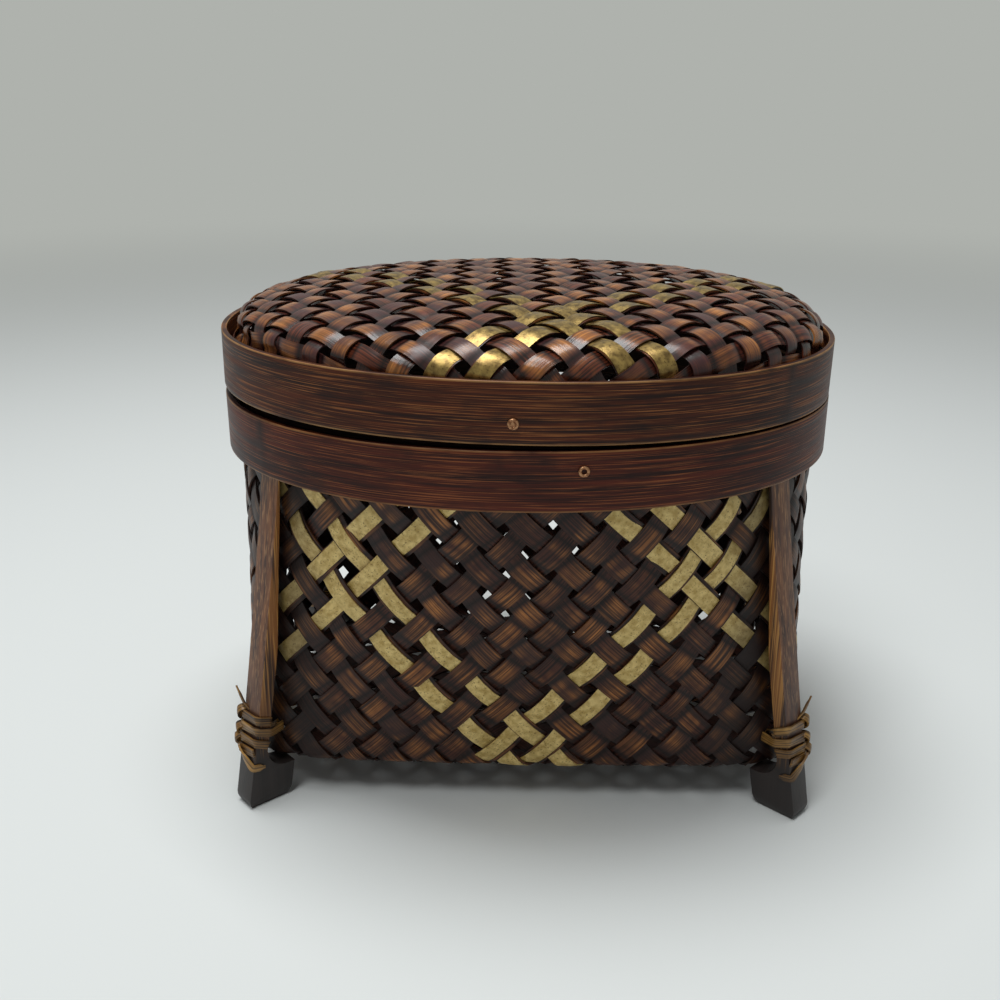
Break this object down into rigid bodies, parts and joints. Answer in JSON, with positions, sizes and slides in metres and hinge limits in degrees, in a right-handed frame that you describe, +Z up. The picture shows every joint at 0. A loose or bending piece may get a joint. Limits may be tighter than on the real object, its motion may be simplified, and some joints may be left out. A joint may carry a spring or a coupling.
{
  "type": "lidded woven basket",
  "caption": "Oval woven basket on splayed legs, with a bent hoop round its rim and a lift-off domed lid in a hoop of the same size.",
  "frame": {"origin": "on the table, under the middle of the basket", "axes": "+X to the right along the long side, +Z up, and the front looks along -Y"},
  "size_m": [0.1802, 0.149, 0.1473],
  "materials": {
    "woven_body": "dark stained bamboo strips with some yellow-gold ones, satin",
    "woven_lid": "red-brown stained bamboo strips, lacquered",
    "stained_bamboo": "red-brown stained bamboo, satin",
    "dark_bamboo": "dark stained bamboo, satin",
    "split_cane": "split cane, dull",
    "copper": "aged copper"
  },
  "bodies": {
    "basket": {"basket_weave": "woven_body", "basket_mat": "woven_body", "body_hoop_outer": "stained_bamboo", "body_hoop_inner": "dark_bamboo", "leg_front_left": "dark_bamboo", "leg_front_right": "dark_bamboo", "leg_back_left": "dark_bamboo", "leg_back_right": "dark_bamboo", "binding_front_left": "split_cane", "binding_front_right": "split_cane", "binding_back_left": "split_cane", "binding_back_right": "split_cane", "body_rivet_front": "copper", "body_rivet_back": "copper"},
    "lid": {"lid_weave": "woven_lid", "lid_hoop_outer": "stained_bamboo", "lid_hoop_inner": "dark_bamboo", "lid_rivet_front": "copper", "lid_rivet_back": "copper"}
  },
  "joints": [
    {"name": "lid_lift", "type": "slide", "parent": "basket", "child": "lid", "axis": [0, 0, 1], "range_m": [0, 0.09]}
  ]
}
